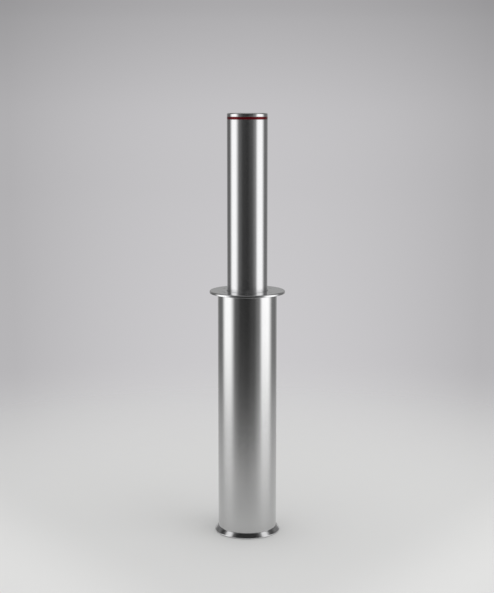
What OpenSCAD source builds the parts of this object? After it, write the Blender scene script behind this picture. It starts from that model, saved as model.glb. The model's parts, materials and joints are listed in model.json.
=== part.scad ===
// Semi-automatic rising bollard: a gas strut lifts the tube out of a sunk casing, and a key at the head
// latches it. Drawn raised, standing on its base ring. +Z is up, the origin is the middle of the base,
// and +Y is the latch side.

/* [Rising tube] */
// Height of the tube above the collar when it is up
rise = 500; // [300:10:800]
// Outside diameter of the rising tube
shaft_d = 114.3; // [110:0.1:140]
// Wall of the rising tube
shaft_wall = 4; // [3:0.5:5]

/* [Head] */
// Height of the cap's rim above the band
cap_rim = 10; // [7:0.5:14]
// Bevel round the top of the cap
cap_bevel = 3.5; // [1:0.5:5]
// Depth of the cap's skirt in the tube
cap_skirt = 14.5; // [10:0.5:24]
// Height of the reflecting band
band_h = 7.5; // [5:0.5:16]
// Depth of the groove that the band lies in
band_depth = 2.7; // [2:0.1:2.9]
// Thickness of the plate welded in the tube below the cap
head_plate_t = 10; // [8:1:16]
// Distance of the cap's screws from the middle
cap_screw_r = 38; // [35:0.5:42]

/* [Casing] */
// Room between the rising tube and the casing
annulus = 24; // [22:0.05:30]
// Wall of the casing
casing_wall = 3; // [2:0.5:5]
// Depth of the casing beyond the travel
casing_spare = 202; // [156:1:240]
// Width of the collar beyond the casing
collar_overhang = 23.4; // [10:0.5:50]
// Thickness of the collar
collar_t = 6; // [5:0.5:12]
// Depth of the collar's rim below the casing's top, round the casing
collar_step = 1; // [0.5:0.5:3]
// Gap between the collar and the rising tube
collar_gap = 1.45; // [1:0.05:3]
// Number of screws in the collar
collar_screw_count = 6; // [4:1:8]

/* [Base] */
// Width of the base ring beyond the casing
base_lip = 10; // [6:0.5:20]
// Height of the base ring's rim
base_rim = 4; // [3:0.5:12]
// Height of the base ring's slope above the rim
base_slope = 11; // [4:0.5:12]
// Thickness of the ledge under the casing
base_ledge_t = 4; // [3:0.5:6]
// Height of the plate inside above the floor
plate_z = 26; // [18:1:26]
// Thickness of the plate inside
plate_t = 6; // [4:0.5:6]
// Bore of the drain socket
drain_bore = 42; // [30:1:44]
// Wall of the drain socket
drain_wall = 3.5; // [2:0.5:4]

/* [Guides] */
// Length of the guide below the collar
guide_len = 60; // [45:1:60]
// Height of the ring that takes the collar's screws
mount_ring_h = 15; // [12:0.5:20]
// Thickness of the guide bush
bush_wall = 5.4; // [4:0.1:6]
// Wall of the sleeve round the bush
sleeve_wall = 3.5; // [2.5:0.5:4.5]
// Height of the stop lip under the bush
stop_lip = 6; // [4:0.5:10]
// Height of the rubber stop on the carriage
bumper_h = 8; // [6:0.5:8]
// Height of the carriage
carriage_h = 40; // [38:1:40]
// Diameter of the screws that hold the carriage to the tube
carriage_screw_d = 8; // [6:1:8]
// Width of the guide rails
rail_w = 20; // [16:1:24]
// Thickness of the guide rails
rail_t = 9.4; // [8:0.1:10]
// Width of the guide pads
pad_w = 24; // [18:1:28]
// Height of the guide pads
pad_h = 30; // [20:1:32]

/* [Gas strut] */
// Outside diameter of the strut's cylinder
gas_d = 28; // [24:1:28]
// Wall of the strut's cylinder
gas_wall = 2; // [1.5:0.5:3]
// Diameter of the strut's rod
gas_rod_d = 10; // [8:1:14]
// Height of the strut's piston
piston_h = 14; // [10:1:14]
// Diameter of the clevis pins
clevis_pin_d = 8; // [6:1:10]

/* [Lock] */
// Size of the key's hexagon across flats
key_af = 8; // [5:1:10]
// Depth of the key's socket
key_depth = 14; // [10:1:18]
// Diameter of the key barrel's head
barrel_d = 24; // [22:0.5:26]
// Diameter of the key barrel's shank
barrel_shank_d = 18; // [16:0.5:20]
// Diameter of the lock rod
lock_rod_d = 10; // [8:0.5:11]
// Module of the rack and pinion
gear_module = 1; // [0.9:0.05:1.1]
// Teeth on the pinion
gear_teeth = 12; // [12:1:12]
// Width of the bolt
bolt_w = 12; // [10:0.5:12]
// Height of the bolt
bolt_h = 14; // [12:0.5:14]
// Gap between the bolt's tip and the lock rail when it is drawn in
tip_gap = 1.2; // [0.8:0.1:2]

/* [Fits] */
// Gap between pieces that move past each other
run_gap = 0.35; // [0.2:0.05:0.5]
// Gap between pieces that are fixed together
fix_gap = 0.1; // [0.05:0.05:0.2]
// Gap between a rubber stop and what it meets
stop_gap = 0.3; // [0.2:0.05:0.5]

/* [Hidden] */
$fn = 96;
over = 1;                                     // how far a cut runs past the face that it opens

shaft_r = shaft_d / 2;
shaft_bore_r = shaft_r - shaft_wall;
casing_bore_r = shaft_r + annulus;
casing_r = casing_bore_r + casing_wall;
casing_h = rise + casing_spare;
ground_z = casing_h + collar_t;
top_z = ground_z + rise;

band_top_z = top_z - cap_rim;
band_z = band_top_z - band_h;                 // the band stands on the end of the tube
band_bed_r = shaft_r - band_depth;
skirt_z = band_z - cap_skirt;
skirt_r = shaft_bore_r - fix_gap;
cap_screw_angles = [30, 150, 270];
head_plate_z = skirt_z - head_plate_t;

collar_r = casing_r + collar_overhang;
collar_bore_r = shaft_r + collar_gap;
collar_edge = 1;
bush_r = shaft_r + run_gap + bush_wall;
sleeve_bore_r = bush_r + fix_gap;
sleeve_r = sleeve_bore_r + sleeve_wall;
ring_r = casing_bore_r - fix_gap;
collar_screw_r = (sleeve_r + ring_r) / 2;
stop_z = casing_h - guide_len;
wiper_h = 8;
wiper_z = casing_h - wiper_h;
wiper_lip_h = collar_t - 1.5;

base_r = casing_r + base_lip;
base_ledge_w = 6.5;
base_bore_r = casing_bore_r - base_ledge_w;
base_flat = 1.5;                              // width of the base ring's top round the casing
base_top_z = base_rim + base_slope;
base_round = 1;
plate_top_z = plate_z + plate_t;
drain_r = drain_bore / 2 + drain_wall;
drain_z = 4;
drain_room = 4;                               // from the socket to the casing's wall
drain_y = -(casing_bore_r - drain_r - drain_room);
buffer_d = 15;
buffer_edge = 3;

carriage_top_z = stop_z - bumper_h;
carriage_z = carriage_top_z - carriage_h;
carriage_mid_z = carriage_z + carriage_h / 2;
carriage_bore_r = shaft_r + fix_gap;
carriage_room = 4.5;
carriage_r = casing_bore_r - carriage_room;
carriage_screw_r = carriage_r - 0.5;          // the screws' heads are sunk a little
carriage_screw_angles = [0, 180];
carriage_screw_rows = [-carriage_h / 4, carriage_h / 4];
rail_r = casing_bore_r - fix_gap;             // back of the rails, against the casing
rail_face_r = rail_r - rail_t;
rail_gap = 0.5;
rail_z = plate_top_z + 1;
rail_top_z = stop_z - 2;
pad_r = casing_bore_r - run_gap;
pad_sink = 4;
pad_seat_r = carriage_r - pad_sink;
pad_screw_r = pad_r - 2;
pad_angles = [45, 135, 225, 315];
buffer_r = (carriage_bore_r + carriage_r) / 2;

bolt_z = carriage_z + 18;
shaft_base_t = 8;
shaft_base_r = shaft_bore_r - fix_gap;
shaft_base_top_z = carriage_z + shaft_base_t;
strut_hole_r = 15.5;

eye_r = 8;
eye_w = 10;
clevis_base_t = 3;
clevis_cheek_t = 4;
clevis_gap = 0.2;
clevis_w = eye_w + 2 * (clevis_gap + clevis_cheek_t);
clevis_pin_over = 2;
pin_drop = clevis_base_t + eye_r + 2;         // from the plate to the middle of the pin
lower_pin_z = plate_top_z + pin_drop;
upper_pin_z = head_plate_z - pin_drop;
eye_neck = 7;
rod_z = lower_pin_z + eye_r + eye_neck;
gas_r = gas_d / 2;
gas_bore_r = gas_r - gas_wall;
gas_end_t = 5;
gas_top_z = upper_pin_z - eye_r - 1;
gas_inner_z = gas_top_z - gas_end_t;
gas_z = rod_z + 1.5 + rise;
gland_h = 12;
piston_top_z = gas_inner_z - rise - 3;
piston_z = piston_top_z - piston_h;

pitch_r = gear_module * gear_teeth / 2;
pressure_angle = 25;
backlash = 0.3;
tooth_foot = 1.2 * gear_module;
gear_tip_r = pitch_r + gear_module;
gear_root_r = pitch_r - tooth_foot;
key_turn = 90;
bolt_travel = pitch_r * key_turn * PI / 180;
rack_pitch = PI * gear_module;
rack_reach = 6;                               // rack needed beyond the point of mesh
bolt_tail_y = gas_r + 2.2;
key_x = -(bolt_w / 2 - gear_module) - pitch_r;
key_y = bolt_tail_y + rack_reach + bolt_travel;
rack_end_y = key_y + rack_reach + 0.5;
bolt_tip_y = rail_face_r - tip_gap;
nose_len = bolt_tip_y - rack_end_y;
nose_r = bolt_w / 2;
nose_hole_r = nose_r + run_gap;
latch_floor = 2.7;
latch_side = 7;
latch_x0 = key_x - gear_tip_r - 3.5;
latch_x1 = bolt_w / 2 + latch_side;
latch_y0 = gas_r + 2;
latch_y1 = key_y + gear_tip_r + 3;
latch_z = shaft_base_top_z;
latch_top_z = bolt_z + bolt_h / 2 + 3;
latch_cover_t = 4;
latch_screw_in = 3;
latch_screw_d = 3;

barrel_top_z = top_z - 0.5;
barrel_head_h = 15;
barrel_step_z = barrel_top_z - barrel_head_h;
barrel_below = 13;                            // length of the barrel under the head plate
barrel_z = head_plate_z - barrel_below;
barrel_bore_depth = 18;
clip_t = 1.6;
clip_groove = 0.8;
coupling_pin_d = 4;
coupling_pin_z = barrel_z + 5;
lock_rod_top_z = barrel_z + barrel_bore_depth - 0.5;
journal_d = 6;
journal_z = carriage_z + 2;

screw_d = 6;
small_screw_d = 5;
thread_gap = 0.1;

// Turned ring between two radii and two heights
module ring(outer_r, inner_r, z0, z1) {
    translate([0, 0, z0])
        difference() {
            cylinder(r = outer_r, h = z1 - z0);
            translate([0, 0, -over]) cylinder(r = inner_r, h = z1 - z0 + 2 * over);
        }
}

// Countersunk screw of diameter d, its head's face at z = 0 and its shank pointing down
module countersunk_screw(d, length) {
    difference() {
        rotate_extrude()
            polygon([[0, 0], [d, 0], [d, -0.1 * d], [d / 2, -0.6 * d], [d / 2, -length + 0.5],
                     [d / 2 - 0.5, -length], [0, -length]]);
        translate([0, 0, -0.35 * d]) cylinder(d = 0.66 * d, h = d, $fn = 6);
    }
}

// The hole that such a screw goes in
module countersunk_hole(d, length, gap = fix_gap) {
    rotate_extrude()
        polygon([[0, over], [d + gap, over], [d + gap, -0.1 * d], [d / 2 + gap, -0.6 * d],
                 [d / 2 + gap, -length - over], [0, -length - over]]);
}

// Cap screw of diameter d with its head's face at z = 0 and its shank pointing down
module cap_head_screw(d, length) {
    difference() {
        union() {
            translate([0, 0, -d]) cylinder(d = 1.5 * d, h = d);
            translate([0, 0, -d - length]) cylinder(d = d, h = length + over);
        }
        translate([0, 0, -0.5 * d]) cylinder(d = 0.9 * d, h = d, $fn = 6);
    }
}

module at_polar(radius, angle, z = 0) {
    rotate([0, 0, angle]) translate([radius, 0, z]) children();
}

// Places a piece at the radius, with its own +Z turned to face outwards
module facing_out(radius, angle, z) {
    at_polar(radius, angle, z) rotate([0, 90, 0]) children();
}

// Fork that holds an eye: its base lies on z = 0 and its pin is at pin_drop
module clevis() {
    difference() {
        union() {
            translate([-clevis_w / 2, -eye_r, 0]) cube([clevis_w, 2 * eye_r, clevis_base_t]);
            for (side = [-1, 1])
                translate([side * (eye_w / 2 + clevis_gap + clevis_cheek_t / 2), 0, 0])
                    rotate([0, 90, 0])
                        linear_extrude(clevis_cheek_t, center = true)
                            union() {
                                translate([-pin_drop, 0]) circle(r = eye_r);
                                translate([-pin_drop, -eye_r]) square([pin_drop, 2 * eye_r]);
                            }
        }
        translate([0, 0, pin_drop]) rotate([0, 90, 0])
            cylinder(d = clevis_pin_d + 2 * fix_gap, h = clevis_w + 2 * over, center = true);
    }
}

// Headed pin along X with a groove and a ring at its far end
module clevis_pin() {
    rotate([0, 90, 0]) {
        cylinder(d = clevis_pin_d, h = clevis_w + 2 * clevis_pin_over, center = true);
        translate([0, 0, clevis_w / 2 + clevis_gap])
            cylinder(d = clevis_pin_d + 4, h = clevis_pin_over - clevis_gap);
        translate([0, 0, -clevis_w / 2 - clevis_pin_over + 0.4])
            cylinder(d = clevis_pin_d + 3, h = 1.2);
    }
}

// Eye of the strut round a pin along X, with a neck of length eye_neck towards +Z
module strut_eye(neck_r, neck_len) {
    difference() {
        union() {
            rotate([0, 90, 0]) cylinder(r = eye_r, h = eye_w, center = true);
            intersection() {
                cylinder(r = neck_r, h = eye_r + neck_len);
                translate([-eye_w / 2, -eye_r, 0]) cube([eye_w, 2 * eye_r, eye_r + neck_len]);
            }
            if (neck_len > 1)
                translate([0, 0, eye_r + 1]) cylinder(r = neck_r, h = neck_len - 1);
        }
        rotate([0, 90, 0])
            cylinder(d = clevis_pin_d + 2 * fix_gap, h = eye_w * 3, center = true);
    }
}

module casing_tube() {
    color("silver") ring(casing_r, casing_bore_r, base_ledge_t, casing_h);
}

module base_ring() {
    seat_r = casing_r + fix_gap;
    color("silver")
        rotate_extrude()
            polygon([[base_bore_r, 0], [base_r - base_round, 0], [base_r, base_round],
                     [base_r, base_rim - base_round / 2], [base_r - base_round / 2, base_rim],
                     [seat_r + base_flat, base_top_z], [seat_r, base_top_z],
                     [seat_r, base_ledge_t], [base_bore_r, base_ledge_t]]);
}

module base_plate() {
    color("darkgray")
        difference() {
            translate([0, 0, plate_z]) cylinder(r = ring_r, h = plate_t);
            translate([0, drain_y, plate_z - over])
                cylinder(r = drain_r + fix_gap, h = plate_t + 2 * over);
        }
}

module drain_socket() {
    color("dimgray")
        translate([0, drain_y, 0]) ring(drain_r, drain_bore / 2, drain_z, plate_top_z);
}

module end_buffers() {
    height = carriage_z - rise - stop_gap - plate_top_z;
    radius = buffer_d / 2;
    edge = min(buffer_edge, height / 3);
    color("black")
        for (angle = pad_angles)
            at_polar(buffer_r, angle, plate_top_z)
                rotate_extrude()
                    polygon([[0, 0], [radius, 0], [radius, height - edge], [radius - edge, height],
                             [0, height]]);
}

// Flat bar on the casing's wall, along +X, that keeps the carriage from turning
module rail_bar() {
    intersection() {
        translate([rail_face_r, -rail_w / 2, rail_z])
            cube([rail_t + over, rail_w, rail_top_z - rail_z]);
        translate([0, 0, rail_z]) cylinder(r = rail_r, h = rail_top_z - rail_z);
    }
}

module guide_rail() {
    color("gray") rotate([0, 0, -90]) rail_bar();
}

module lock_rail() {
    color("gray")
        difference() {
            rotate([0, 0, 90]) rail_bar();
            for (z = [bolt_z, bolt_z - rise])
                translate([0, rail_face_r - over, z]) rotate([-90, 0, 0])
                    cylinder(r = nose_hole_r, h = rail_t + 3 * over);
        }
}

module mount_ring() {
    color("gray")
        difference() {
            ring(ring_r, sleeve_bore_r, casing_h - mount_ring_h, casing_h);
            for (i = [0:collar_screw_count - 1])
                at_polar(collar_screw_r, -90 + i * 360 / collar_screw_count, casing_h - mount_ring_h - over)
                    cylinder(d = screw_d + 2 * thread_gap, h = mount_ring_h + 2 * over);
        }
}

module guide_sleeve() {
    color("gray") {
        ring(sleeve_r, sleeve_bore_r, stop_z + stop_lip - over, casing_h - mount_ring_h);
        ring(sleeve_r, shaft_r + 1, stop_z, stop_z + stop_lip);
    }
}

module guide_bush() {
    color("ivory") ring(bush_r, shaft_r + run_gap, stop_z + stop_lip, wiper_z);
}

module wiper_seal() {
    inner_r = shaft_r + stop_gap;
    lip_r = collar_bore_r - fix_gap;
    color("black")
        rotate_extrude()
            polygon([[inner_r + 1.5, wiper_z], [bush_r, wiper_z], [bush_r, casing_h], [lip_r, casing_h],
                     [lip_r, casing_h + wiper_lip_h - 1], [inner_r + 0.3, casing_h + wiper_lip_h],
                     [inner_r, casing_h + wiper_lip_h - 0.5], [inner_r + 0.3, casing_h - 1]]);
}

// Turned collar that lies on the casing's top, with a rim that fits round it
module collar_plate() {
    rim_z = casing_h - collar_step;
    color("silver")
        difference() {
            rotate_extrude()
                polygon([[collar_bore_r, casing_h], [casing_r + fix_gap, casing_h],
                         [casing_r + fix_gap, rim_z], [collar_r - collar_edge / 2, rim_z],
                         [collar_r, rim_z + collar_edge / 2], [collar_r, ground_z - collar_edge],
                         [collar_r - collar_edge, ground_z], [collar_bore_r + collar_edge / 2, ground_z],
                         [collar_bore_r, ground_z - collar_edge / 2]]);
            for (i = [0:collar_screw_count - 1])
                at_polar(collar_screw_r, -90 + i * 360 / collar_screw_count, ground_z)
                    countersunk_hole(screw_d, collar_t);
        }
}

module collar_screws() {
    color("silver")
        for (i = [0:collar_screw_count - 1])
            at_polar(collar_screw_r, -90 + i * 360 / collar_screw_count, ground_z)
                countersunk_screw(screw_d, collar_t + mount_ring_h - 3);
}

module lower_clevis() {
    color("gray") translate([0, 0, plate_top_z]) clevis();
}

module lower_clevis_pin() {
    color("silver") translate([0, 0, lower_pin_z]) clevis_pin();
}

module gas_rod_eye() {
    color("gray")
        difference() {
            translate([0, 0, lower_pin_z]) strut_eye(gas_rod_d / 2 + 2, eye_neck);
            translate([0, 0, rod_z - eye_neck + 2])
                cylinder(d = gas_rod_d - 2, h = eye_neck);
        }
}

module gas_rod() {
    color("whitesmoke") {
        translate([0, 0, rod_z]) cylinder(d = gas_rod_d, h = piston_z - rod_z);
        translate([0, 0, rod_z - eye_neck + 2 + fix_gap])
            cylinder(d = gas_rod_d - 2 - 2 * fix_gap, h = eye_neck);
    }
}

module gas_piston() {
    color("dimgray")
        translate([0, 0, piston_z])
            rotate_extrude()
                difference() {
                    square([gas_bore_r - run_gap, piston_h]);
                    translate([gas_bore_r - run_gap - 1.5, piston_h / 2 - 1.5]) square([3, 3]);
                }
}

module shaft_tube() {
    color("silver")
        difference() {
            ring(shaft_r, shaft_bore_r, carriage_z, band_z);
            translate([0, shaft_bore_r / 2, bolt_z]) rotate([-90, 0, 0])
                cylinder(r = nose_hole_r, h = shaft_r);
            for (angle = carriage_screw_angles, z = carriage_screw_rows)
                facing_out(shaft_bore_r - over, angle, carriage_mid_z + z)
                    cylinder(d = carriage_screw_d + 2 * thread_gap, h = shaft_wall + 3 * over);
        }
}

// Turned lid: bevelled rim, neck for the band, and a plug in the tube with holes for the barrel and screws
module head_cap() {
    color("silver")
        difference() {
            rotate_extrude()
                polygon([[0, skirt_z], [skirt_r - 0.8, skirt_z], [skirt_r, skirt_z + 0.8],
                         [skirt_r, band_z], [band_bed_r, band_z], [band_bed_r, band_top_z],
                         [shaft_r - 0.3, band_top_z], [shaft_r, band_top_z + 0.3],
                         [shaft_r, top_z - cap_bevel], [shaft_r - cap_bevel, top_z], [0, top_z]]);
            translate([key_x, key_y, barrel_step_z - run_gap])
                cylinder(r = barrel_d / 2 + run_gap, h = barrel_head_h + 2 * over);
            translate([key_x, key_y, skirt_z - over])
                cylinder(r = barrel_shank_d / 2 + run_gap, h = top_z - skirt_z);
            for (angle = cap_screw_angles)
                at_polar(cap_screw_r, angle, top_z) countersunk_hole(screw_d, top_z - skirt_z);
        }
}

module reflecting_band() {
    color("darkred") ring(shaft_r - 0.2, band_bed_r + fix_gap, band_z, band_top_z);
}

module cap_screws() {
    color("silver")
        for (angle = cap_screw_angles)
            at_polar(cap_screw_r, angle, top_z)
                countersunk_screw(screw_d, top_z - skirt_z + head_plate_t - 2);
}

module head_plate() {
    color("gray")
        difference() {
            translate([0, 0, head_plate_z]) cylinder(r = skirt_r, h = head_plate_t);
            translate([key_x, key_y, head_plate_z - over])
                cylinder(r = barrel_shank_d / 2 + run_gap, h = head_plate_t + 2 * over);
            for (angle = cap_screw_angles)
                at_polar(cap_screw_r, angle, head_plate_z - over)
                    cylinder(d = screw_d + 2 * thread_gap, h = head_plate_t + 2 * over);
        }
}

module upper_clevis() {
    color("gray") translate([0, 0, head_plate_z]) mirror([0, 0, 1]) clevis();
}

module upper_clevis_pin() {
    color("silver") translate([0, 0, upper_pin_z]) clevis_pin();
}

module gas_cylinder_eye() {
    color("gray")
        translate([0, 0, upper_pin_z]) mirror([0, 0, 1])
            strut_eye(gas_rod_d / 2 + 2, upper_pin_z - gas_top_z - eye_r);
}

module gas_cylinder() {
    color("black")
        rotate_extrude()
            polygon([[gas_bore_r, gas_z], [gas_r, gas_z], [gas_r, gas_top_z - 2], [gas_r - 2, gas_top_z],
                     [0, gas_top_z], [0, gas_inner_z], [gas_bore_r, gas_inner_z]]);
}

module gas_gland() {
    color("dimgray")
        ring(gas_bore_r - fix_gap, gas_rod_d / 2 + fix_gap, gas_z, gas_z + gland_h);
}

module carriage_ring() {
    color("lightgray")
        difference() {
            ring(carriage_r, carriage_bore_r, carriage_z, carriage_top_z);
            for (angle = [-90, 90])
                at_polar(rail_face_r - rail_gap, angle, carriage_z - over)
                    translate([0, -rail_w / 2 - rail_gap, 0])
                        cube([rail_t + 5, rail_w + 2 * rail_gap, carriage_h + 2 * over]);
            for (angle = pad_angles)
                at_polar(pad_seat_r, angle, carriage_mid_z - pad_h / 2 - fix_gap)
                    translate([0, -pad_w / 2 - fix_gap, 0])
                        cube([pad_r - pad_seat_r, pad_w + 2 * fix_gap, pad_h + 2 * fix_gap]);
            for (angle = pad_angles)
                facing_out(carriage_bore_r + 1, angle, carriage_mid_z)
                    cylinder(d = small_screw_d + 2 * thread_gap, h = carriage_r - carriage_bore_r);
            translate([0, carriage_bore_r / 2, bolt_z]) rotate([-90, 0, 0])
                cylinder(r = nose_hole_r, h = carriage_r);
            for (angle = carriage_screw_angles, z = carriage_screw_rows)
                facing_out(0, angle, carriage_mid_z + z) {
                    cylinder(d = carriage_screw_d + 2 * thread_gap, h = carriage_r + over);
                    translate([0, 0, carriage_screw_r - carriage_screw_d])
                        cylinder(d = 1.5 * carriage_screw_d + 4 * fix_gap, h = carriage_screw_d + 2 * over);
                }
        }
}

module guide_pads() {
    color("ivory")
        for (angle = pad_angles)
            rotate([0, 0, angle])
                difference() {
                    intersection() {
                        translate([pad_seat_r + fix_gap, -pad_w / 2, carriage_mid_z - pad_h / 2])
                            cube([pad_r - pad_seat_r, pad_w, pad_h]);
                        translate([0, 0, carriage_z]) cylinder(r = pad_r, h = carriage_h);
                    }
                    facing_out(pad_screw_r, 0, carriage_mid_z)
                        countersunk_hole(small_screw_d, pad_screw_r - carriage_bore_r);
                }
}

module pad_screws() {
    color("silver")
        for (angle = pad_angles)
            facing_out(pad_screw_r, angle, carriage_mid_z)
                countersunk_screw(small_screw_d, pad_screw_r - carriage_bore_r - 2);
}

module carriage_screws() {
    color("silver")
        for (angle = carriage_screw_angles, z = carriage_screw_rows)
            facing_out(carriage_screw_r, angle, carriage_mid_z + z)
                cap_head_screw(carriage_screw_d, carriage_screw_r - carriage_screw_d - shaft_bore_r);
}

module stop_bumper() {
    color("black")
        ring(sleeve_r - 0.5, shaft_r + 1, carriage_top_z, stop_z - stop_gap);
}

module shaft_base() {
    color("gray")
        difference() {
            translate([0, 0, carriage_z]) cylinder(r = shaft_base_r, h = shaft_base_t);
            translate([0, 0, carriage_z - over]) cylinder(r = strut_hole_r, h = shaft_base_t + 2 * over);
            translate([key_x, key_y, carriage_z - over])
                cylinder(d = journal_d + 2 * fix_gap, h = shaft_base_t + 2 * over);
            for (x = [latch_x0 + latch_screw_in, latch_x1 - latch_screw_in],
                 y = [latch_y0 + latch_screw_in, latch_y1 - latch_screw_in])
                translate([x, y, carriage_z + 2])
                    cylinder(d = latch_screw_d + 2 * thread_gap, h = shaft_base_t);
        }
}

// Block with a slot for the bolt and a pocket for the pinion, open at the top
module latch_housing() {
    slot_w = bolt_w + 2 * run_gap;
    height = latch_top_z - latch_z;
    color("lightgray")
        difference() {
            translate([latch_x0, latch_y0, latch_z])
                cube([latch_x1 - latch_x0, latch_y1 - latch_y0, height]);
            translate([-slot_w / 2, latch_y0 - over, bolt_z - bolt_h / 2 - run_gap])
                cube([slot_w, latch_y1 - latch_y0 + 2 * over, height]);
            translate([key_x, key_y, bolt_z - bolt_h / 2 - run_gap])
                cylinder(r = gear_tip_r + run_gap, h = height);
            translate([key_x, key_y, latch_z - over])
                cylinder(d = journal_d + 2 * fix_gap, h = height);
            for (x = [latch_x0 + latch_screw_in, latch_x1 - latch_screw_in],
                 y = [latch_y0 + latch_screw_in, latch_y1 - latch_screw_in])
                translate([x, y, latch_z - over])
                    cylinder(d = latch_screw_d + 2 * thread_gap, h = height + 2 * over);
        }
}

module latch_cover() {
    color("silver")
        difference() {
            translate([latch_x0, latch_y0, latch_top_z])
                cube([latch_x1 - latch_x0, latch_y1 - latch_y0, latch_cover_t]);
            translate([key_x, key_y, latch_top_z - over])
                cylinder(d = lock_rod_d + 2 * fix_gap, h = latch_cover_t + 2 * over);
            for (x = [latch_x0 + latch_screw_in, latch_x1 - latch_screw_in],
                 y = [latch_y0 + latch_screw_in, latch_y1 - latch_screw_in])
                translate([x, y, latch_top_z - over])
                    cylinder(d = latch_screw_d + 2 * thread_gap, h = latch_cover_t + 2 * over);
        }
}

module latch_screws() {
    color("silver")
        for (x = [latch_x0 + latch_screw_in, latch_x1 - latch_screw_in],
             y = [latch_y0 + latch_screw_in, latch_y1 - latch_screw_in])
            translate([x, y, latch_top_z + latch_cover_t + latch_screw_d])
                cap_head_screw(latch_screw_d, latch_top_z + latch_cover_t - carriage_z - 3);
}

// Headed barrel with a hexagon socket for the key, a groove for its clip and a bore for the rod
module key_barrel() {
    shank_r = barrel_shank_d / 2;
    clip_z = head_plate_z - run_gap - clip_t;
    color("goldenrod")
        translate([key_x, key_y, 0])
            difference() {
                rotate_extrude()
                    polygon([[0, barrel_z], [shank_r, barrel_z], [shank_r, clip_z],
                             [shank_r - clip_groove, clip_z], [shank_r - clip_groove, clip_z + clip_t],
                             [shank_r, clip_z + clip_t], [shank_r, barrel_step_z],
                             [barrel_d / 2, barrel_step_z], [barrel_d / 2, barrel_top_z - 0.5],
                             [barrel_d / 2 - 0.5, barrel_top_z], [0, barrel_top_z]]);
                translate([0, 0, barrel_top_z - key_depth])
                    cylinder(d = (key_af + 0.2) / cos(30), h = key_depth + over, $fn = 6);
                translate([0, 0, barrel_z - over])
                    cylinder(d = lock_rod_d + 2 * fix_gap, h = barrel_bore_depth + over);
                translate([0, 0, coupling_pin_z]) rotate([0, 90, 0])
                    cylinder(d = coupling_pin_d + 2 * fix_gap, h = barrel_shank_d + 2 * over, center = true);
            }
}

module barrel_clip() {
    clip_z = head_plate_z - run_gap - clip_t;
    color("dimgray")
        translate([key_x, key_y, 0])
            difference() {
                ring(barrel_shank_d / 2 + 2.5, barrel_shank_d / 2 - clip_groove + fix_gap / 2,
                     clip_z + fix_gap, clip_z + clip_t - fix_gap);
                translate([-1.5, -barrel_shank_d, clip_z - over])
                    cube([3, barrel_shank_d, clip_t + 2 * over]);
            }
}

module lock_rod() {
    color("silver")
        translate([key_x, key_y, 0])
            difference() {
                union() {
                    translate([0, 0, journal_z]) cylinder(d = journal_d, h = latch_top_z - journal_z);
                    translate([0, 0, bolt_z + bolt_h / 2])
                        cylinder(d = lock_rod_d, h = lock_rod_top_z - bolt_z - bolt_h / 2);
                }
                translate([0, 0, coupling_pin_z]) rotate([0, 90, 0])
                    cylinder(d = coupling_pin_d + 2 * fix_gap, h = lock_rod_d + 2 * over, center = true);
            }
}

module coupling_pin() {
    color("dimgray")
        translate([key_x, key_y, coupling_pin_z]) rotate([0, 90, 0])
            cylinder(d = coupling_pin_d, h = barrel_shank_d - 1, center = true);
}

function involute(angle) = tan(angle) * 180 / PI - angle;
gear_base_r = pitch_r * cos(pressure_angle);
function half_tooth(radius) =
    90 / gear_teeth - backlash / 4 / pitch_r * 180 / PI
    + involute(pressure_angle) - involute(acos(min(1, gear_base_r / radius)));
flank_steps = 4;
flank_radii = [for (i = [0:flank_steps]) gear_base_r + (gear_tip_r - gear_base_r) * i / flank_steps];

// One tooth of the pinion, pointing along +X
module pinion_tooth() {
    foot_r = gear_root_r - 0.5;
    polygon(concat(
        [[foot_r * cos(half_tooth(gear_base_r)), -foot_r * sin(half_tooth(gear_base_r))]],
        [for (radius = flank_radii) [radius * cos(half_tooth(radius)), -radius * sin(half_tooth(radius))]],
        [for (i = [flank_steps:-1:0])
            [flank_radii[i] * cos(half_tooth(flank_radii[i])),
             flank_radii[i] * sin(half_tooth(flank_radii[i]))]],
        [[foot_r * cos(half_tooth(gear_base_r)), foot_r * sin(half_tooth(gear_base_r))]]));
}

module lock_pinion() {
    color("goldenrod")
        translate([key_x, key_y, bolt_z - bolt_h / 2])
            difference() {
                linear_extrude(bolt_h) {
                    circle(r = gear_root_r);
                    for (i = [0:gear_teeth - 1])
                        rotate([0, 0, i * 360 / gear_teeth]) pinion_tooth();
                }
                translate([0, 0, -over]) cylinder(d = journal_d + 2 * fix_gap, h = bolt_h + 2 * over);
            }
}

// Bolt: a bar with rack teeth on its -X side and a round nose that enters the lock rail
module latch_bolt() {
    root_x = -bolt_w / 2 + gear_module + tooth_foot;
    pitch_x = -bolt_w / 2 + gear_module;
    half_pitch_w = rack_pitch / 4 - backlash / 4;
    slope = tan(pressure_angle);
    first = ceil((bolt_tail_y - key_y) / rack_pitch);
    last = floor((rack_end_y - key_y) / rack_pitch) - 1;
    color("lightgray") {
        translate([0, 0, bolt_z - bolt_h / 2])
            linear_extrude(bolt_h) {
                translate([root_x, bolt_tail_y]) square([bolt_w / 2 - root_x, rack_end_y - bolt_tail_y]);
                for (i = [first:last])
                    translate([0, key_y + (i + 0.5) * rack_pitch])
                        polygon([[root_x + 0.2, -half_pitch_w - tooth_foot * slope],
                                 [root_x, -half_pitch_w - tooth_foot * slope],
                                 [pitch_x - gear_module, -half_pitch_w + gear_module * slope],
                                 [pitch_x - gear_module, half_pitch_w - gear_module * slope],
                                 [root_x, half_pitch_w + tooth_foot * slope],
                                 [root_x + 0.2, half_pitch_w + tooth_foot * slope]]);
            }
        translate([0, rack_end_y - 0.5, bolt_z]) rotate([-90, 0, 0])
            rotate_extrude()
                polygon([[0, 0], [nose_r, 0], [nose_r, nose_len - 1], [nose_r - 1.5, nose_len + 0.5],
                         [0, nose_len + 0.5]]);
    }
}

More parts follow.
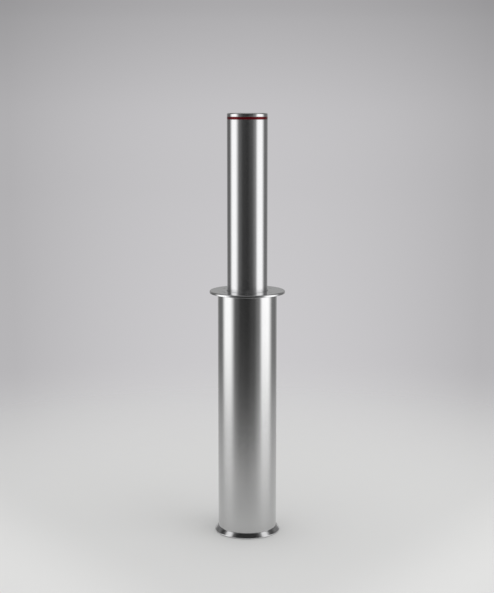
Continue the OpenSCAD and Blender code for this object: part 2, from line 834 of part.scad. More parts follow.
casing_tube();
base_ring();
base_plate();
drain_socket();
end_buffers();
guide_rail();
lock_rail();
mount_ring();
guide_sleeve();
guide_bush();
wiper_seal();
collar_plate();
collar_screws();
lower_clevis();
lower_clevis_pin();
gas_rod_eye();
gas_rod();
gas_piston();
shaft_tube();
head_cap();
reflecting_band();
cap_screws();
head_plate();
upper_clevis();
upper_clevis_pin();
gas_cylinder_eye();
gas_cylinder();
gas_gland();
carriage_ring();
guide_pads();
pad_screws();
carriage_screws();
stop_bumper();
shaft_base();
latch_housing();
latch_cover();
latch_screws();
key_barrel();
barrel_clip();
lock_rod();
coupling_pin();
lock_pinion();
latch_bolt();
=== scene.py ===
import json
import math

import bmesh
import bpy
from mathutils import Matrix, Vector


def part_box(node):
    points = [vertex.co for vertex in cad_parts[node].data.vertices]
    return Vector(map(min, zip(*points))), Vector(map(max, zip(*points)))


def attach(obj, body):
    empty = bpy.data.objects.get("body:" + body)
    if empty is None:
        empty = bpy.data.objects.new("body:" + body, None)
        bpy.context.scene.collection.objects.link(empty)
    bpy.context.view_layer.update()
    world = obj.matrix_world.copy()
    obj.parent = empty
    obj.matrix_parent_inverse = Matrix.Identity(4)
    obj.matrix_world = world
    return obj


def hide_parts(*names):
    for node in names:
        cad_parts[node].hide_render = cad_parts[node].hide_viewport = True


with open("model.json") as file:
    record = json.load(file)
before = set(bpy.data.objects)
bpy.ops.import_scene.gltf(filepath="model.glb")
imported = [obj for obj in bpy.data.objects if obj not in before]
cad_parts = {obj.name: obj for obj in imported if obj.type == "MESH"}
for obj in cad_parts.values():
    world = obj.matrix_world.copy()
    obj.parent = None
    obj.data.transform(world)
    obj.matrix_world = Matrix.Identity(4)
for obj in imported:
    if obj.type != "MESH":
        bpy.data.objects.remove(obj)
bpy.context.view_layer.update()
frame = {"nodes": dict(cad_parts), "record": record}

print("frame loaded:", len(frame["nodes"]), "nodes")

mm = 0.001  # the pieces' lengths are in millimetres, those of finishes and studio in metres
fullTurn = 2 * math.pi
fits = {"run": 0.35, "fixed": 0.1}  # room round a piece that turns, and round one that stays
mesher = {
    "steps": 192, "barrelSteps": 96, "screwSteps": 48, "barSides": 48, "roundSegments": 5,
    "sharpDegrees": 34, "merge": 0.002,
    "over": 1.0,  # how far a cutter stands past what it cuts
}


# Heights of a node's foot and top
def levelsOf(node):
    low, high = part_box(node)
    return low[2] / mm, high[2] / mm


def middleHeight(node):
    return sum(levelsOf(node)) / 2


def radiusOf(node):
    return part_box(node)[1][0] / mm


def middleOf(node):
    low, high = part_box(node)
    return (low[0] + high[0]) / 2 / mm, (low[1] + high[1]) / 2 / mm


def polar(radius, degrees):
    angle = math.radians(degrees)
    return radius * math.cos(angle), radius * math.sin(angle)


# Shapes

# Turns an outline round the upright axis. Each corner is its radius, its height and how far it is rounded.
# A closed outline gives a ring. An open one runs down from the rim or the axis, and ends on the axis.
def turnMesh(corners, closed, steps):
    mesh = bmesh.new()
    points = [mesh.verts.new((corner[0] * mm, 0, corner[1] * mm)) for corner in corners]
    for start, end in zip(points, points[1:] + points[:1] if closed else points[1:]):
        mesh.edges.new((start, end))
    for point, corner in zip(points, corners):
        if len(corner) > 2:
            bmesh.ops.bevel(
                mesh, geom=[point], offset=corner[2] * mm, offset_type="OFFSET", affect="VERTICES",
                segments=mesher["roundSegments"], profile=0.5, material=-1)
    bmesh.ops.spin(
        mesh, geom=mesh.verts[:] + mesh.edges[:], cent=(0, 0, 0), axis=(0, 0, 1), angle=fullTurn,
        steps=steps, use_merge=True)
    bmesh.ops.remove_doubles(mesh, verts=mesh.verts, dist=mesher["merge"] * mm)
    return mesh


def onlyPoints(parts):
    return [part for part in parts if isinstance(part, bmesh.types.BMVert)]


# Sinks a hexagon socket into the open flat top of a turned mesh
def sinkSocket(mesh, top, socket):
    rim = [edge for edge in mesh.edges if edge.is_boundary]
    radius = socket["flats"] / math.sqrt(3)
    bottomAt = Matrix.Translation((0, 0, (top - socket["depth"]) * mm))
    bottom = bmesh.ops.create_circle(mesh, cap_ends=True, segments=6, radius=radius * mm, matrix=bottomAt)
    outline = list(bottom["verts"][0].link_faces[0].edges)
    widened = (radius + socket["lip"]) / radius
    for scale, rise in ((1, socket["depth"] - socket["lip"]), (widened, socket["lip"])):
        raised = bmesh.ops.extrude_edge_only(mesh, edges=outline)["geom"]
        points = onlyPoints(raised)
        outline = [
            part for part in raised
            if isinstance(part, bmesh.types.BMEdge) and all(point in points for point in part.verts)]
        bmesh.ops.scale(mesh, vec=(scale, scale, 1), verts=points)
        bmesh.ops.translate(mesh, vec=(0, 0, rise * mm), verts=points)
    bmesh.ops.bridge_loops(mesh, edges=rim + outline)


def moveBy(mesh, points, at):
    bmesh.ops.translate(mesh, vec=(at[0] * mm, at[1] * mm, 0), verts=points)


# The same shape at each of the places
def copyTo(mesh, places):
    points = mesh.verts[:]
    whole = points + mesh.edges[:] + mesh.faces[:]
    for at in places[1:]:
        made = bmesh.ops.duplicate(mesh, geom=whole)["geom"]
        moveBy(mesh, onlyPoints(made), at)
    moveBy(mesh, points, places[0])


# Makes a piece of the mesh, with smooth faces between sharp corners
def finishMesh(name, mesh):
    bmesh.ops.recalc_face_normals(mesh, faces=mesh.faces)
    for face in mesh.faces:
        face.smooth = True
    sharp = math.radians(mesher["sharpDegrees"])
    for edge in mesh.edges:
        edge.smooth = len(edge.link_faces) == 2 and edge.calc_face_angle(0) < sharp
    data = bpy.data.meshes.new(name)
    mesh.to_mesh(data)
    mesh.free()
    piece = bpy.data.objects.new(name, data)
    bpy.context.scene.collection.objects.link(piece)
    weights = piece.modifiers.new("faceNormals", "WEIGHTED_NORMAL")
    weights.keep_sharp = True
    return piece


def turned(name, corners, closed=True, steps=mesher["steps"], at=(0, 0)):
    mesh = turnMesh(corners, closed, steps)
    moveBy(mesh, mesh.verts, at)
    return finishMesh(name, mesh)


# Round bar at a height, that points from the axis at an angle, from its start to its reach
def crossBar(radius, start, reach, height, degrees):
    mesh = bmesh.new()
    pose = (
        Matrix.Translation((0, 0, height * mm)) @ Matrix.Rotation(math.radians(degrees), 4, "Z")
        @ Matrix.Rotation(math.radians(90), 4, "Y") @ Matrix.Translation((0, 0, (start + reach) / 2 * mm)))
    bmesh.ops.create_cone(
        mesh, cap_ends=True, segments=mesher["barSides"], radius1=radius * mm, radius2=radius * mm,
        depth=(reach - start) * mm, matrix=pose)
    return finishMesh("cutter", mesh)


# Cuts the shapes out of the piece, and gives the piece anew
def cutWith(piece, cutters):
    for cutter in cutters:
        cut = piece.modifiers.new("cut", "BOOLEAN")
        cut.operation = "DIFFERENCE"
        cut.solver = "EXACT"
        cut.object = cutter
    piece.modifiers.remove(piece.modifiers["faceNormals"])
    bpy.context.view_layer.update()
    shape = piece.evaluated_get(bpy.context.evaluated_depsgraph_get())
    mesh = bmesh.new()
    mesh.from_mesh(shape.to_mesh())
    name = piece.name
    for used in [piece] + cutters:
        bpy.data.objects.remove(used)
    bmesh.ops.remove_doubles(mesh, verts=mesh.verts, dist=mesher["merge"] * mm)
    return finishMesh(name, mesh)


# Finishes

# Adds a node. An input is called by its name, or by i and its number.
def addNode(tree, kind, settings=None, **inputs):
    node = tree.nodes.new(kind)
    for key, value in (settings or {}).items():
        setattr(node, key, value)
    for key, value in inputs.items():
        socket = node.inputs[int(key[1:])] if key[0] == "i" and key[1:].isdigit() else node.inputs[key]
        if hasattr(value, "is_output"):
            tree.links.new(value, socket)
        else:
            socket.default_value = value
    return node


# The result of a Math node
def calculate(tree, operation, *values):
    inputs = {"i" + str(number): value for number, value in enumerate(values)}
    return addNode(tree, "ShaderNodeMath", {"operation": operation}, **inputs).outputs[0]


# Carries a value from one range over to another, and holds it at the ends
def mapRange(tree, value, low, high, first=0.0, last=1.0, way="LINEAR"):
    settings = {"interpolation_type": way}
    node = addNode(tree, "ShaderNodeMapRange", settings, i0=value, i1=low, i2=high, i3=first, i4=last)
    return node.outputs[0]


def mixLevels(tree, share, first, second):
    return addNode(tree, "ShaderNodeMix", {"data_type": "FLOAT"}, i0=share, i2=first, i3=second).outputs[0]


def newFinish(name, color, metallic, roughness, **more):
    material = bpy.data.materials.new(name)
    material.use_nodes = True
    shader = material.node_tree.nodes["Principled BSDF"]
    shader.inputs["Base Color"].default_value = (*color, 1)
    shader.inputs["Metallic"].default_value = metallic
    shader.inputs["Roughness"].default_value = roughness
    for key, value in more.items():
        shader.inputs[key.replace("_", " ")].default_value = value
    return material, material.node_tree, shader


# Runs from a darker to a lighter shade of the colour
def shadeBetween(tree, share, color, tint):
    node = addNode(tree, "ShaderNodeMix", {"data_type": "RGBA"}, i0=share)
    node.inputs[6].default_value = (*[part * (1 - tint) for part in color], 1)
    node.inputs[7].default_value = (*[part * (1 + tint) for part in color], 1)
    return node.outputs[2]


def addBump(tree, shader, height, depth, distance):
    bump = addNode(tree, "ShaderNodeBump", Strength=depth, Distance=distance, Height=height)
    tree.links.new(bump.outputs[0], shader.inputs["Normal"])


lined = {
    "along": 14, "detail": 3.0, "rough": 0.7,  # how the lines change on their way round, and their grain
    "cloud": 9.0, "cloudDetail": 2.0, "cloudShare": 0.35, "low": 0.4, "high": 1.0,
    "quarter": 0.25, "tint": 0.04, "distance": 0.00004,
}


# Steel ground or turned with fine lines round the axis: it blurs what it mirrors up and down, not sideways
def linedSteel(name, color, roughness, spread, lines, depth, anisotropy):
    material, tree, shader = newFinish(
        name, color, 1.0, roughness, Anisotropic=anisotropy, Anisotropic_Rotation=lined["quarter"])
    around = addNode(tree, "ShaderNodeTangent", {"direction_type": "RADIAL", "axis": "Z"})
    tree.links.new(around.outputs[0], shader.inputs["Tangent"])

    place = addNode(tree, "ShaderNodeTexCoord").outputs["Object"]
    split = addNode(tree, "ShaderNodeSeparateXYZ", i0=place)
    flat = addNode(tree, "ShaderNodeCombineXYZ", i0=split.outputs[0], i1=split.outputs[1], i2=0.0).outputs[0]
    out = addNode(tree, "ShaderNodeVectorMath", {"operation": "LENGTH"}, i0=flat)
    along = calculate(tree, "ADD", out.outputs["Value"], split.outputs[2])
    slow = addNode(tree, "ShaderNodeVectorMath", {"operation": "SCALE"}, i0=flat, Scale=lined["along"])
    slowSplit = addNode(tree, "ShaderNodeSeparateXYZ", i0=slow.outputs[0])
    linePlace = addNode(
        tree, "ShaderNodeCombineXYZ", i0=slowSplit.outputs[0], i1=slowSplit.outputs[1],
        i2=calculate(tree, "MULTIPLY", along, lines))
    grain = addNode(
        tree, "ShaderNodeTexNoise", Vector=linePlace.outputs[0], Scale=1.0, Detail=lined["detail"],
        Roughness=lined["rough"]).outputs[0]
    cloud = addNode(
        tree, "ShaderNodeTexNoise", Vector=place, Scale=lined["cloud"],
        Detail=lined["cloudDetail"]).outputs[0]
    both = calculate(tree, "MULTIPLY_ADD", cloud, lined["cloudShare"], grain)
    gloss = mapRange(tree, both, lined["low"], lined["high"], roughness - spread, roughness + spread)
    tree.links.new(gloss, shader.inputs["Roughness"])
    tree.links.new(shadeBetween(tree, grain, color, lined["tint"]), shader.inputs["Base Color"])
    addBump(tree, shader, grain, depth, lined["distance"])
    return material


toothed = {
    "cloudDetail": 4.0, "cloudRough": 0.6, "low": 0.3, "high": 0.7, "glossy": 0.8, "dull": 1.25,
    "toothDetail": 2.0, "toothRough": 0.5, "distance": 0.0001,
}


# Machined, plated, painted or moulded stuff with cloudy gloss and a fine tooth
def toothedStuff(name, color, metallic, roughness, cloud, tooth, depth, tint):
    material, tree, shader = newFinish(name, color, metallic, roughness)
    place = addNode(tree, "ShaderNodeTexCoord").outputs["Object"]
    clouds = addNode(
        tree, "ShaderNodeTexNoise", Vector=place, Scale=cloud, Detail=toothed["cloudDetail"],
        Roughness=toothed["cloudRough"]).outputs[0]
    glossy, dull = roughness * toothed["glossy"], roughness * toothed["dull"]
    gloss = mapRange(tree, clouds, toothed["low"], toothed["high"], glossy, dull)
    tree.links.new(gloss, shader.inputs["Roughness"])
    tree.links.new(shadeBetween(tree, clouds, color, tint), shader.inputs["Base Color"])
    grain = addNode(
        tree, "ShaderNodeTexNoise", Vector=place, Scale=tooth, Detail=toothed["toothDetail"],
        Roughness=toothed["toothRough"]).outputs[0]
    addBump(tree, shader, grain, depth, toothed["distance"])
    return material


film = {"metallic": 0.5, "specular": 0.1, "seam": 0.12, "tint": 0.06, "distance": 0.00005}


# Film with fine reflecting cells under a clear face
def cellFilm(name, color, roughness, cells, depth):
    material, tree, shader = newFinish(
        name, color, film["metallic"], roughness, Specular_IOR_Level=film["specular"])
    place = addNode(tree, "ShaderNodeTexCoord").outputs["Object"]
    cell = addNode(tree, "ShaderNodeTexVoronoi", {"feature": "DISTANCE_TO_EDGE"}, Vector=place, Scale=cells)
    seam = mapRange(tree, cell.outputs[0], 0.0, film["seam"])
    tree.links.new(shadeBetween(tree, seam, color, film["tint"]), shader.inputs["Base Color"])
    addBump(tree, shader, seam, depth, film["distance"])
    return material


# linedSteel: name, colour, roughness and its spread, lines, their depth, anisotropy
# toothedStuff: name, colour, metal, roughness, clouds, tooth, its depth, tint
# cellFilm: name, colour, roughness, cells, their depth
finishes = {
    "shaft_steel": linedSteel("satinTube", (0.60, 0.60, 0.605), 0.19, 0.05, 2600, 0.10, 0.75),
    "casing_steel": linedSteel("satinCasing", (0.60, 0.60, 0.60), 0.14, 0.04, 2200, 0.10, 0.75),
    "turned_steel": linedSteel("turnedSteel", (0.62, 0.62, 0.625), 0.12, 0.03, 3200, 0.10, 0.7),
    "screw_steel": toothedStuff("brightScrews", (0.62, 0.62, 0.63), 1.0, 0.15, 160, 1800, 0.08, 0.04),
    "plain_steel": toothedStuff("plainSteel", (0.42, 0.42, 0.43), 1.0, 0.36, 30, 900, 0.25, 0.12),
    "zinc_steel": toothedStuff("zincPlate", (0.50, 0.51, 0.53), 1.0, 0.28, 45, 700, 0.15, 0.10),
    "rod_chrome": toothedStuff("hardChrome", (0.70, 0.70, 0.72), 1.0, 0.08, 20, 2400, 0.03, 0.02),
    "black_paint": toothedStuff("blackPaint", (0.02, 0.02, 0.022), 0.0, 0.24, 25, 420, 0.25, 0.10),
    "carriage_aluminium": toothedStuff(
        "machinedAluminium", (0.62, 0.63, 0.65), 1.0, 0.30, 35, 1300, 0.25, 0.06),
    "barrel_brass": toothedStuff("machinedBrass", (0.60, 0.42, 0.16), 1.0, 0.24, 60, 1500, 0.12, 0.08),
    "red_band": cellFilm("redFilm", (0.115, 0.0065, 0.0105), 0.22, 420, 0.10),
    "black_rubber": toothedStuff("blackRubber", (0.02, 0.02, 0.02), 0.0, 0.62, 60, 1100, 0.5, 0.15),
    "guide_plastic": toothedStuff("naturalAcetal", (0.75, 0.73, 0.66), 0.0, 0.42, 40, 800, 0.15, 0.03),
    "drain_plastic": toothedStuff("drainPlastic", (0.12, 0.12, 0.13), 0.0, 0.48, 30, 600, 0.2, 0.08),
}
slotOf = {row["node"]: row["material_slot"] for row in frame["record"]["subparts"]}
bodyOf = {node: body for body, nodes in frame["record"]["behaviour"]["bodies"].items() for node in nodes}
for node, piece in frame["nodes"].items():
    for slot in piece.material_slots:
        slot.link = "OBJECT"
        slot.material = finishes[slotOf[node]]
print("finishes done")


# The piece takes the node's place, body and finish
def standFor(piece, node):
    piece.data.materials.append(finishes[slotOf[node]])
    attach(piece, bodyOf[node])
    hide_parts(node)


# Rising tube

tube = {
    "wall": 4.0, "edge": 0.3,
    "noseHole": 6.35,  # radius of the hole for the bolt's nose
    "screwHole": 4.1, "screwHead": 6.0,  # of those for the carriage's screws, and of their heads
    "drillPast": 10.0,
}
tubeRadius = radiusOf("shaft_tube")
tubeBore = tubeRadius - tube["wall"]
tubeFoot, tubeTop = levelsOf("shaft_tube")
shaftTube = turned("shaftTube", [
    (tubeRadius, tubeFoot, tube["edge"]),
    (tubeRadius, tubeTop, tube["edge"]),
    (tubeBore, tubeTop, tube["edge"]),
    (tubeBore, tubeFoot, tube["edge"]),
])
screwsFoot, screwsTop = levelsOf("carriage_screws")
throughTube = tubeRadius + tube["drillPast"]
tubeHoles = [crossBar(tube["noseHole"], 0, throughTube, middleHeight("latch_bolt"), 90)]
for height in (screwsFoot + tube["screwHead"], screwsTop - tube["screwHead"]):
    tubeHoles.append(crossBar(tube["screwHole"], -throughTube, throughTube, height, 0))
shaftTube = cutWith(shaftTube, tubeHoles)
standFor(shaftTube, "shaft_tube")

# Cap with its plug, and the band in the groove under its rim

cap = {"round": 3.5, "edge": 0.4, "plugEdge": 0.8, "screwRadius": 38.0, "screwAngles": (30, 150, 270)}
band = {"depth": 2.7, "sunk": 0.15, "edge": 0.5, "room": 0.05}
sink = {"head": 6.1, "shank": 3.1, "straight": 0.6, "cone": 3.6, "lip": 0.35, "depth": 20.0}
barrel = {
    "head": 12.0, "shank": 9.0, "headHeight": 15.0, "edge": 0.4, "groove": 0.8,
    "bore": 5.1, "boreDepth": 18.0, "pinHole": 2.1, "pinReach": 12.0,
}
plugFoot, capTop = levelsOf("head_cap")
bandFoot, bandTop = levelsOf("reflecting_band")
plugRadius = tubeBore - fits["fixed"]
bandBed = tubeRadius - band["depth"]


# Countersunk hole from a flat top down to a foot
def sinkCutter(at, top, foot):
    over = mesher["over"]
    return turned("cutter", [
        (0, top + over),
        (sink["head"] + sink["lip"] + over, top + over),
        (sink["head"], top - sink["lip"]),
        (sink["head"], top - sink["straight"]),
        (sink["shank"], top - sink["cone"]),
        (sink["shank"], foot),
        (0, foot),
    ], False, mesher["screwSteps"], at)


headCap = turned("headCap", [
    (0, capTop),
    (tubeRadius, capTop, cap["round"]),
    (tubeRadius, bandTop, cap["edge"]),
    (bandBed, bandTop),
    (bandBed, bandFoot),
    (plugRadius, bandFoot),
    (plugRadius, plugFoot, cap["plugEdge"]),
    (0, plugFoot),
], False)
keyAt = middleOf("key_barrel")
barrelFoot, barrelTop = levelsOf("key_barrel")
headBore = barrel["head"] + fits["run"]
shankBore = barrel["shank"] + fits["run"]
seatHeight = barrelTop - barrel["headHeight"] - fits["run"]
underPlug = plugFoot - mesher["over"]
keyCutter = turned("cutter", [
    (0, capTop + mesher["over"]),
    (headBore + sink["lip"] + mesher["over"], capTop + mesher["over"]),
    (headBore, capTop - sink["lip"]),
    (headBore, seatHeight),
    (shankBore, seatHeight),
    (shankBore, underPlug),
    (0, underPlug),
], False, mesher["barrelSteps"], keyAt)
capPlaces = [polar(cap["screwRadius"], angle) for angle in cap["screwAngles"]]
headCap = cutWith(headCap, [keyCutter] + [sinkCutter(at, capTop, underPlug) for at in capPlaces])
standFor(headCap, "head_cap")

reflectingBand = turned("reflectingBand", [
    (tubeRadius - band["sunk"], bandFoot + band["room"], band["edge"]),
    (tubeRadius - band["sunk"], bandTop - band["room"], band["edge"]),
    (bandBed + fits["fixed"], bandTop - band["room"]),
    (bandBed + fits["fixed"], bandFoot + band["room"]),
])
standFor(reflectingBand, "reflecting_band")

# Countersunk screws of the cap and the collar

screw = {"head": 6.0, "shank": 3.0, "straight": 0.6, "cone": 3.6, "rim": 0.25, "chamfer": 0.5}
screwSocket = {"flats": 4.0, "depth": 2.1, "lip": 0.2}


def screwSet(name, places, node):
    foot, top = levelsOf(node)
    mesh = turnMesh([
        (screw["head"] - screw["rim"], top),
        (screw["head"], top - screw["rim"]),
        (screw["head"], top - screw["straight"]),
        (screw["shank"], top - screw["cone"]),
        (screw["shank"], foot + screw["chamfer"]),
        (screw["shank"] - screw["chamfer"], foot),
        (0, foot),
    ], False, mesher["screwSteps"])
    sinkSocket(mesh, top, screwSocket)
    copyTo(mesh, places)
    standFor(finishMesh(name, mesh), node)


screwSet("capScrews", capPlaces, "cap_screws")

# Key barrel

keySocket = {"flats": 8.2, "depth": 14.0, "lip": 0.5}
clipFoot, clipTop = levelsOf("barrel_clip")
grooveTop = clipTop + fits["fixed"]
grooveFoot = clipFoot - fits["fixed"]
mesh = turnMesh([
    (barrel["head"] - barrel["edge"], barrelTop),
    (barrel["head"], barrelTop - barrel["edge"]),
    (barrel["head"], barrelTop - barrel["headHeight"]),
    (barrel["shank"], barrelTop - barrel["headHeight"]),
    (barrel["shank"], grooveTop),
    (barrel["shank"] - barrel["groove"], grooveTop),
    (barrel["shank"] - barrel["groove"], grooveFoot),
    (barrel["shank"], grooveFoot),
    (barrel["shank"], barrelFoot),
    (barrel["bore"], barrelFoot),
    (barrel["bore"], barrelFoot + barrel["boreDepth"]),
    (0, barrelFoot + barrel["boreDepth"]),
], False, mesher["barrelSteps"])
sinkSocket(mesh, barrelTop, keySocket)
pinHole = crossBar(
    barrel["pinHole"], -barrel["pinReach"], barrel["pinReach"], middleHeight("coupling_pin"), 0)
keyBarrel = cutWith(finishMesh("keyBarrel", mesh), [pinHole])
keyBarrel.data.transform(Matrix.Translation((keyAt[0] * mm, keyAt[1] * mm, 0)))
standFor(keyBarrel, "key_barrel")
print("head done")

# Casing, collar and seal

casing = {"wall": 3.0, "edge": 0.4}
collar = {
    "bore": 58.6, "edge": 3.0, "rimEdge": 0.8, "screwRadius": 74.0, "screws": 6, "firstScrew": -90,
}
seal = {
    "room": 0.3, "shoulder": 62.9, "flare": 1.5, "lip": 0.3, "slope": 1.0, "tip": 0.5,
    "edge": 0.2, "lipEdge": 0.15, "tipEdge": 0.1,
}
casingRadius = radiusOf("casing_tube")
casingFoot, casingTop = levelsOf("casing_tube")
rimFoot, ground = levelsOf("collar_plate")
collarRadius = radiusOf("collar_plate")
casingTube = turned("casingTube", [
    (casingRadius, casingFoot, casing["edge"]),
    (casingRadius, casingTop, casing["edge"]),
    (casingRadius - casing["wall"], casingTop, casing["edge"]),
    (casingRadius - casing["wall"], casingFoot, casing["edge"]),
])
standFor(casingTube, "casing_tube")

collarPlate = turned("collarPlate", [
    (collar["bore"], casingTop),
    (casingRadius + fits["fixed"], casingTop),
    (casingRadius + fits["fixed"], rimFoot),
    (collarRadius, rimFoot, collar["rimEdge"]),
    (collarRadius, ground, collar["edge"]),
    (collar["bore"], ground, collar["rimEdge"]),
])
collarPlaces = [
    polar(collar["screwRadius"], collar["firstScrew"] + 360 * index / collar["screws"])
    for index in range(collar["screws"])]
collarPlate = cutWith(collarPlate, [sinkCutter(at, ground, ground - sink["depth"]) for at in collarPlaces])
standFor(collarPlate, "collar_plate")
screwSet("collarScrews", collarPlaces, "collar_screws")

sealFoot, sealTop = levelsOf("wiper_seal")
sealInner = tubeRadius + seal["room"]
sealOuter = collar["bore"] - fits["fixed"]
wiperSeal = turned("wiperSeal", [
    (sealInner + seal["flare"], sealFoot, seal["edge"]),
    (seal["shoulder"], sealFoot, seal["edge"]),
    (seal["shoulder"], casingTop),
    (sealOuter, casingTop),
    (sealOuter, sealTop - seal["slope"]),
    (sealInner + seal["lip"], sealTop, seal["lipEdge"]),
    (sealInner, sealTop - seal["tip"], seal["tipEdge"]),
    (sealInner + seal["lip"], casingTop - seal["slope"]),
])
standFor(wiperSeal, "wiper_seal")

# Flared foot of the casing

base = {"bore": 74.65, "rim": 4.0, "flat": 1.5, "edge": 0.8, "topEdge": 0.6}
baseRadius = radiusOf("base_ring")
baseTop = levelsOf("base_ring")[1]
seat = casingRadius + fits["fixed"]
baseRing = turned("baseRing", [
    (base["bore"], 0, base["edge"] / 2),
    (baseRadius, 0, base["edge"]),
    (baseRadius, base["rim"], base["edge"]),
    (seat + base["flat"], baseTop, base["topEdge"]),
    (seat, baseTop),
    (seat, casingFoot),
    (base["bore"], casingFoot, base["edge"] / 2),
])
standFor(baseRing, "base_ring")
print("casing done")

# Camera

photo = {"width": 494, "height": 593, "axisAcross": 247.3}
camera = {
    "distance": 3.5263, "height": 1.2326, "pitch": 8.75, "focalPixels": 1250, "sensor": 36, "farthest": 200,
}
camData = bpy.data.cameras.new("photoCamera")
camData.sensor_fit = "AUTO"
camData.sensor_width = camera["sensor"]
camData.lens = camera["focalPixels"] * camera["sensor"] / photo["height"]
camData.clip_end = camera["farthest"]
photoCamera = bpy.data.objects.new("photoCamera", camData)
bpy.context.scene.collection.objects.link(photoCamera)
axisAside = (photo["width"] / 2 - photo["axisAcross"]) / camera["focalPixels"] * camera["distance"]
photoCamera.location = (axisAside, -camera["distance"], camera["height"])
photoCamera.rotation_euler = (math.radians(90 - camera["pitch"]), 0, 0)
bpy.context.scene.camera = photoCamera
print("camera done")

# Studio

lamp = {"at": (2.4, -1.2, 3.4), "toward": (0, 0, 0.3), "size": 3.0, "power": 20}
lampData = bpy.data.lights.new("sideLamp", "AREA")
lampData.shape = "SQUARE"
lampData.size = lamp["size"]
lampData.energy = lamp["power"]
sideLamp = bpy.data.objects.new("sideLamp", lampData)
bpy.context.scene.collection.objects.link(sideLamp)
sideLamp.location = lamp["at"]
sideLamp.rotation_euler = (Vector(lamp["toward"]) - Vector(lamp["at"])).to_track_quat("-Z", "Y").to_euler()
sideLamp.visible_camera = False
sideLamp.visible_glossy = False

# What the metal mirrors: a dark room with a strip of light on each side. Each stop is an angle round the
# object from the camera, in degrees, and the brightness there.
room = [
    (-180, 0.40), (-158, 0.34), (-135, 0.16), (-118, 0.18), (-91, 1.60), (-73, 1.63), (-45, 0.18),
    (-21, 0.06), (0, 0.045), (26, 0.11), (45, 0.34), (63.5, 1.58), (86, 1.62), (116, 0.22), (135, 0.20),
    (158, 0.36), (180, 0.40),
]
# Low down the strips are soft and faint. Here and below, a height is the sine of the mirrored ray's slope.
lowRoom = [
    (-180, 0.45), (-126, 0.43), (-82, 0.80), (-25, 0.05), (0, 0.02), (19, 0.08), (72, 0.98), (84, 0.98),
    (118, 0.47), (180, 0.45),
]
soft = {"from": -0.20, "to": -0.25}  # heights between which lowRoom takes over
# Share of the room's brightness that is left at each height
heights = [
    (-0.30, 0.95), (-0.205, 1.03), (-0.165, 1.12), (-0.10, 1.0), (0.22, 1.0), (0.50, 0.68), (1.0, 0.66)]
# The strips draw together round their middles overhead: how many times, at each height
stripMiddle = 81.0
squeeze = [(-0.30, 1.0), (0.20, 1.0), (0.42, 1.8), (1.0, 1.8)]
# Above them the ceiling is even
ceiling = {"light": 0.60, "low": 0.90, "high": 0.985}
# Below, the room towards the camera is darker
shade = {"keep": 0.40, "low": -0.122, "high": -0.158, "inside": 46, "outside": 60}
# Behind, it is darker high up
behind = {"from": 98, "to": 110, "less": 0.07, "low": 0.33, "high": 0.43}
# Backdrop seen by the camera: brightness at each height it looks at, darker to the sides
backdrop = {
    "levels": [(-0.30, 0.645), (-0.23, 0.61), (-0.08, 0.567), (0.0, 0.54), (0.065, 0.434), (0.10, 0.38)],
    "tint": (1.0, 0.985, 1.012), "fall": 5.9, "least": 0.79,
}
daylight = 0.86  # even light on the floor and on what isn't metal


# Brightness that follows a value through a row of stops
def levelRamp(tree, value, stops, way="LINEAR"):
    low, high = stops[0][0], stops[-1][0]
    brightest = max(level for at, level in stops)
    ramp = addNode(tree, "ShaderNodeValToRGB", i0=mapRange(tree, value, low, high))
    ramp.color_ramp.interpolation = way
    marks = ramp.color_ramp.elements
    for index, (at, level) in enumerate(stops):
        where = (at - low) / (high - low)
        if index == 0:
            mark = marks[0]
        elif index == len(stops) - 1:
            mark = marks[-1]
        else:
            mark = marks.new(where)
        mark.position = where
        mark.color = (*[level / brightest] * 3, 1)
    return calculate(tree, "MULTIPLY", ramp.outputs[0], brightest)


# Brightness of the room that the metal mirrors
def roomLevel(tree, toward):
    across, back, height = toward.outputs
    bearing = calculate(tree, "ARCTAN2", across, calculate(tree, "MULTIPLY", back, -1.0))
    degrees = calculate(tree, "DEGREES", bearing)
    fromCamera = calculate(tree, "ABSOLUTE", degrees)

    offMiddle = calculate(tree, "SUBTRACT", fromCamera, stripMiddle)
    drawn = calculate(tree, "MULTIPLY_ADD", offMiddle, levelRamp(tree, height, squeeze), stripMiddle)
    positive = calculate(tree, "MAXIMUM", drawn, 0.0)
    turn = calculate(tree, "MULTIPLY", positive, calculate(tree, "SIGN", degrees))
    around = levelRamp(tree, turn, room, "EASE")
    byHeight = calculate(tree, "MULTIPLY", around, levelRamp(tree, height, heights))

    below = mapRange(tree, height, shade["low"], shade["high"])
    inFront = mapRange(tree, fromCamera, shade["inside"], shade["outside"], 1 - shade["keep"], 0.0)
    kept = calculate(tree, "SUBTRACT", 1.0, calculate(tree, "MULTIPLY", below, inFront))
    shaded = calculate(tree, "MULTIPLY", byHeight, kept)

    gloom = mapRange(tree, height, behind["low"], behind["high"], 0.0, -behind["less"])
    rear = mapRange(tree, fromCamera, behind["from"], behind["to"])
    strips = calculate(tree, "MULTIPLY_ADD", gloom, rear, shaded)

    downward = mapRange(tree, height, soft["from"], soft["to"], way="SMOOTHSTEP")
    softened = mixLevels(tree, downward, strips, levelRamp(tree, degrees, lowRoom, "EASE"))
    upward = mapRange(tree, height, ceiling["low"], ceiling["high"], way="SMOOTHSTEP")
    return mixLevels(tree, upward, softened, ceiling["light"])


# Brightness of the backdrop that the camera sees
def backdropLevel(tree, toward):
    across, back, height = toward.outputs
    byHeight = levelRamp(tree, height, backdrop["levels"], "CARDINAL")
    sideways = calculate(tree, "DIVIDE", across, back)
    squared = calculate(tree, "MULTIPLY", sideways, sideways)
    fall = calculate(tree, "MULTIPLY_ADD", squared, -backdrop["fall"], 1.0)
    return calculate(tree, "MULTIPLY", byHeight, calculate(tree, "MAXIMUM", fall, backdrop["least"]))


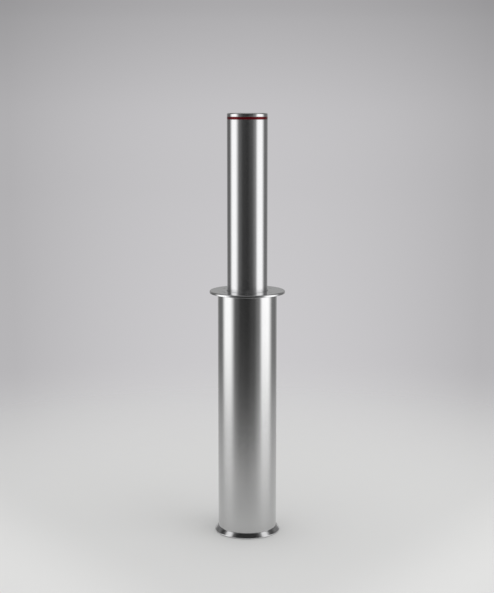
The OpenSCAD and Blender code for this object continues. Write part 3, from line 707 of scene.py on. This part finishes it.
world = bpy.data.worlds.new("studioWorld")
bpy.context.scene.world = world
world.use_nodes = True
tree = world.node_tree
tree.nodes.clear()
ray = addNode(tree, "ShaderNodeTexCoord")
toward = addNode(tree, "ShaderNodeSeparateXYZ", i0=ray.outputs["Generated"])
plainSky = addNode(tree, "ShaderNodeBackground", Color=(1, 1, 1, 1), Strength=daylight)
mirrorSky = addNode(tree, "ShaderNodeBackground", Color=(1, 1, 1, 1), Strength=roomLevel(tree, toward))
seenSky = addNode(
    tree, "ShaderNodeBackground", Color=(*backdrop["tint"], 1), Strength=backdropLevel(tree, toward))
path = addNode(tree, "ShaderNodeLightPath")
forMirror = addNode(
    tree, "ShaderNodeMixShader", i0=path.outputs["Is Glossy Ray"], i1=plainSky.outputs[0],
    i2=mirrorSky.outputs[0])
forCamera = addNode(
    tree, "ShaderNodeMixShader", i0=path.outputs["Is Camera Ray"], i1=forMirror.outputs[0],
    i2=seenSky.outputs[0])
addNode(tree, "ShaderNodeOutputWorld", Surface=forCamera.outputs[0])

# Pale floor that fades with its distance into the backdrop, and in the metal's mirror into the room.
# Towards the camera and to the sides its colour is lighter, which is painted light.
floor = {
    "radius": 60.0, "sides": 96, "roughness": 0.9,
    # The second colour is the floor's colour with painted light on it; near and the two numbers after it
    # place that painted light
    "color": (0.73, 0.73, 0.725), "paintedLightColor": (0.82, 0.82, 0.812),
    "near": 0.7, "paintedLightFrom": 0.45, "paintedLightTo": 0.9, "seenFrom": 0.5, "seenTo": 2.6,
    "mirror": [(0.20, 0.06), (0.37, 0.22), (0.65, 0.36), (1.12, 0.70), (1.78, 0.91), (2.6, 0.97), (4.2, 1.0)],
}


def floorFinish():
    material, tree, shader = newFinish(
        "paleFloor", floor["color"], 0.0, floor["roughness"], Specular_IOR_Level=0.0)
    place = addNode(tree, "ShaderNodeTexCoord").outputs["Object"]
    away = addNode(tree, "ShaderNodeVectorMath", {"operation": "LENGTH"}, i0=place).outputs["Value"]
    parts = addNode(tree, "ShaderNodeSeparateXYZ", i0=place)
    # Painted light: the floor's colour grows lighter towards the camera and to the sides
    sideways = calculate(tree, "ABSOLUTE", parts.outputs[0])
    corner = calculate(tree, "MULTIPLY_ADD", parts.outputs[1], -floor["near"], sideways)
    paintedLightShare = mapRange(tree, corner, floor["paintedLightFrom"], floor["paintedLightTo"], way="SMOOTHSTEP")
    paintedLightFloor = addNode(tree, "ShaderNodeMix", {"data_type": "RGBA"}, i0=paintedLightShare)
    paintedLightFloor.inputs[6].default_value = (*floor["color"], 1)
    paintedLightFloor.inputs[7].default_value = (*floor["paintedLightColor"], 1)
    tree.links.new(paintedLightFloor.outputs[2], shader.inputs["Base Color"])

    farSeen = mapRange(tree, away, floor["seenFrom"], floor["seenTo"], way="SMOOTHSTEP")
    farMirror = levelRamp(tree, away, floor["mirror"])
    path = addNode(tree, "ShaderNodeLightPath")
    hidden = mixLevels(tree, path.outputs["Is Glossy Ray"], 0.0, farMirror)
    clear = mixLevels(tree, path.outputs["Is Camera Ray"], hidden, farSeen)
    glass = addNode(tree, "ShaderNodeBsdfTransparent")
    mixed = addNode(tree, "ShaderNodeMixShader", i0=clear, i1=shader.outputs[0], i2=glass.outputs[0])
    tree.links.new(mixed.outputs[0], tree.nodes["Material Output"].inputs["Surface"])
    return material


mesh = bmesh.new()
bmesh.ops.create_circle(mesh, cap_ends=True, segments=floor["sides"], radius=floor["radius"])
data = bpy.data.meshes.new("studioFloor")
mesh.to_mesh(data)
mesh.free()
studioFloor = bpy.data.objects.new("studioFloor", data)
bpy.context.scene.collection.objects.link(studioFloor)
studioFloor.data.materials.append(floorFinish())
print("studio done")

bpy.context.scene.view_settings.view_transform = "Standard"
